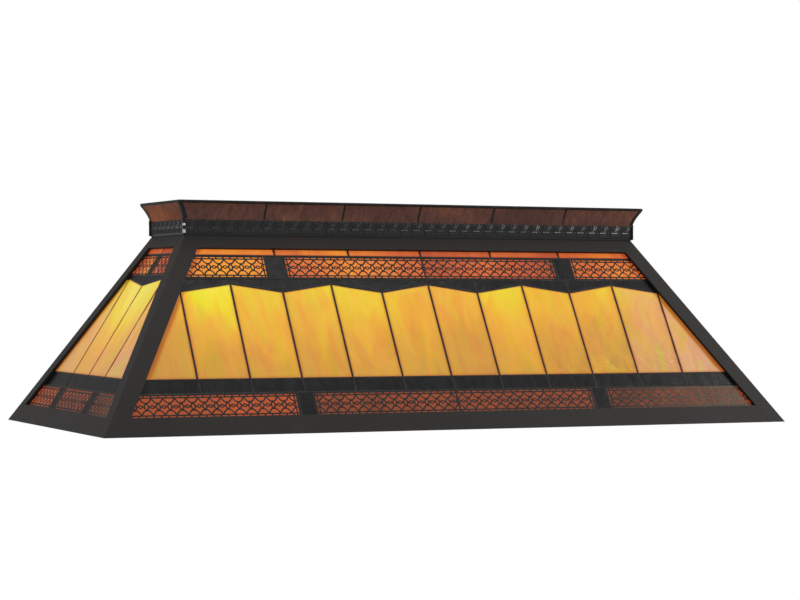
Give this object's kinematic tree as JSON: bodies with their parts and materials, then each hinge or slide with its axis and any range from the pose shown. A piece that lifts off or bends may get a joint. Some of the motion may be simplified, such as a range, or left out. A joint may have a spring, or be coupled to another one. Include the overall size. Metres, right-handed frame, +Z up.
{
  "type": "pool table lamp",
  "caption": "Long four-sided leaded-glass hanging shade for a pool table, with amber panels, filigree rows, a flared crown, bulbs and hanging loops.",
  "frame": {"origin": "centre of the bottom rim, on the plane that the rim rests on", "axes": "+X along the lamp, +Y across it towards the back, +Z up towards the crown"},
  "size_m": [1.2192, 0.5588, 0.37],
  "materials": {
    "frame_black": "satin black paint",
    "amber_glass": "streaky opalescent art glass",
    "black_glass": "rippled black art glass",
    "orange_glass": "streaky orange art glass",
    "crown_glass": "streaky brown art glass",
    "patinated_solder": "black patinated solder",
    "filigree_metal": "blackened stamped brass",
    "band_metal": "glossy blackened embossed brass",
    "inside_enamel": "white enamel",
    "zinc_steel": "zinc plated",
    "aged_brass": "dark aged brass",
    "wire_plastic": "wire insulation",
    "socket_plastic": "black phenolic",
    "bulb_glass": "inside frosted",
    "cap_metal": "threaded screw cap"
  },
  "bodies": {
    "shade": {"amber_glass_back": "amber_glass", "amber_glass_front": "amber_glass", "amber_glass_left": "amber_glass", "amber_glass_right": "amber_glass", "black_glass_back": "black_glass", "black_glass_front": "black_glass", "black_glass_left": "black_glass", "black_glass_right": "black_glass", "bottom_rail_back": "frame_black", "bottom_rail_front": "frame_black", "bottom_rail_left": "frame_black", "bottom_rail_right": "frame_black", "corner_angle_back_left": "frame_black", "corner_angle_back_right": "frame_black", "corner_angle_front_left": "frame_black", "corner_angle_front_right": "frame_black", "crown_came": "patinated_solder", "crown_glass_back": "crown_glass", "crown_glass_front": "crown_glass", "crown_glass_left": "crown_glass", "crown_glass_right": "crown_glass", "gallery_band_back": "band_metal", "gallery_band_front": "band_metal", "gallery_band_left": "band_metal", "gallery_band_right": "band_metal", "glass_clips": "zinc_steel", "lampholders": "socket_plastic", "lead_came_back": "patinated_solder", "lead_came_front": "patinated_solder", "lead_came_left": "patinated_solder", "lead_came_right": "patinated_solder", "lower_filigree": "filigree_metal", "orange_glass_back": "orange_glass", "orange_glass_front": "orange_glass", "orange_glass_left": "orange_glass", "orange_glass_right": "orange_glass", "plate_bushings": "aged_brass", "plate_screws": "zinc_steel", "top_plate": "frame_black", "top_rail_back": "frame_black", "top_rail_front": "frame_black", "top_rail_left": "frame_black", "top_rail_right": "frame_black", "upper_filigree": "filigree_metal", "wire_harness": "wire_plastic", "wiring_channel": "inside_enamel"},
    "bulb_1": {"bulb_glass_1": "bulb_glass", "bulb_cap_1": "cap_metal"},
    "bulb_2": {"bulb_glass_2": "bulb_glass", "bulb_cap_2": "cap_metal"},
    "bulb_3": {"bulb_glass_3": "bulb_glass", "bulb_cap_3": "cap_metal"},
    "bulb_4": {"bulb_glass_4": "bulb_glass", "bulb_cap_4": "cap_metal"},
    "loop_left": {"hanging_loop_left": "aged_brass", "loop_nut_left": "aged_brass"},
    "loop_right": {"hanging_loop_right": "aged_brass", "loop_nut_right": "aged_brass"}
  },
  "joints": [
    {"name": "bulb_1_out", "type": "slide", "parent": "shade", "child": "bulb_1", "axis": [0, 0, -1], "range_m": [0, 0.03]},
    {"name": "bulb_2_out", "type": "slide", "parent": "shade", "child": "bulb_2", "axis": [0, 0, -1], "range_m": [0, 0.03]},
    {"name": "bulb_3_out", "type": "slide", "parent": "shade", "child": "bulb_3", "axis": [0, 0, -1], "range_m": [0, 0.03]},
    {"name": "bulb_4_out", "type": "slide", "parent": "shade", "child": "bulb_4", "axis": [0, 0, -1], "range_m": [0, 0.03]},
    {"name": "loop_left_swivel", "type": "hinge", "parent": "shade", "child": "loop_left", "pos_m": [-0.254, 0, 0.3372], "axis": [0, 0, 1], "continuous": true},
    {"name": "loop_right_swivel", "type": "hinge", "parent": "shade", "child": "loop_right", "pos_m": [0.254, 0, 0.3372], "axis": [0, 0, 1], "continuous": true}
  ]
}
